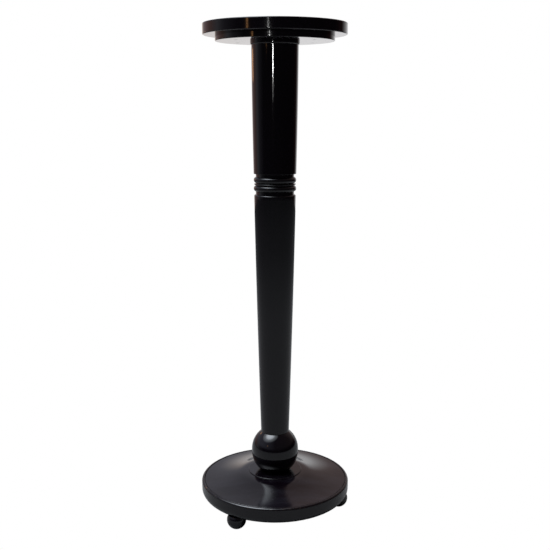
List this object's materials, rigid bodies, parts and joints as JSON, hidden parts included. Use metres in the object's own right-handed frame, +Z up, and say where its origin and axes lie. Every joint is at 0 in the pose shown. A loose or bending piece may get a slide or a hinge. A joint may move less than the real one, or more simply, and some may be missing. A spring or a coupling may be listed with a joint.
{
  "type": "display plinth",
  "caption": "Tall turned pedestal: round stepped top on a tapered column with a beaded waist, over a ball and a shallow domed round base on ball feet.",
  "frame": {"origin": "on the floor, on the pedestal's own axis, level with the underside of the ball feet", "axes": "+Z up along the column; -Y towards the front, where two of the three feet show; +X to the right seen from the front"},
  "size_m": [0.3624, 0.3624, 1.16],
  "materials": {
    "black_lacquered_wood": "gloss black lacquer on turned hardwood",
    "zinc_plated_steel": "zinc plated, satin",
    "brass": "plain machined"
  },
  "bodies": {
    "root": {"top_disc": "black_lacquered_wood", "under_disc": "black_lacquered_wood", "neck_collar": "black_lacquered_wood", "upper_shaft": "black_lacquered_wood", "bead_band": "black_lacquered_wood", "lower_shaft": "black_lacquered_wood", "ball": "black_lacquered_wood", "seat_ring": "black_lacquered_wood", "base_dome": "black_lacquered_wood", "base_board": "black_lacquered_wood", "foot_right": "black_lacquered_wood", "foot_back_left": "black_lacquered_wood", "foot_front_left": "black_lacquered_wood", "foot_studs": "zinc_plated_steel", "foot_inserts": "brass", "top_screws": "zinc_plated_steel", "head_screws": "zinc_plated_steel", "base_screws": "zinc_plated_steel", "upper_washer": "zinc_plated_steel", "upper_nut": "zinc_plated_steel", "lower_washer": "zinc_plated_steel", "lower_nut": "zinc_plated_steel", "tie_rod": "zinc_plated_steel"}
  },
  "joints": []
}
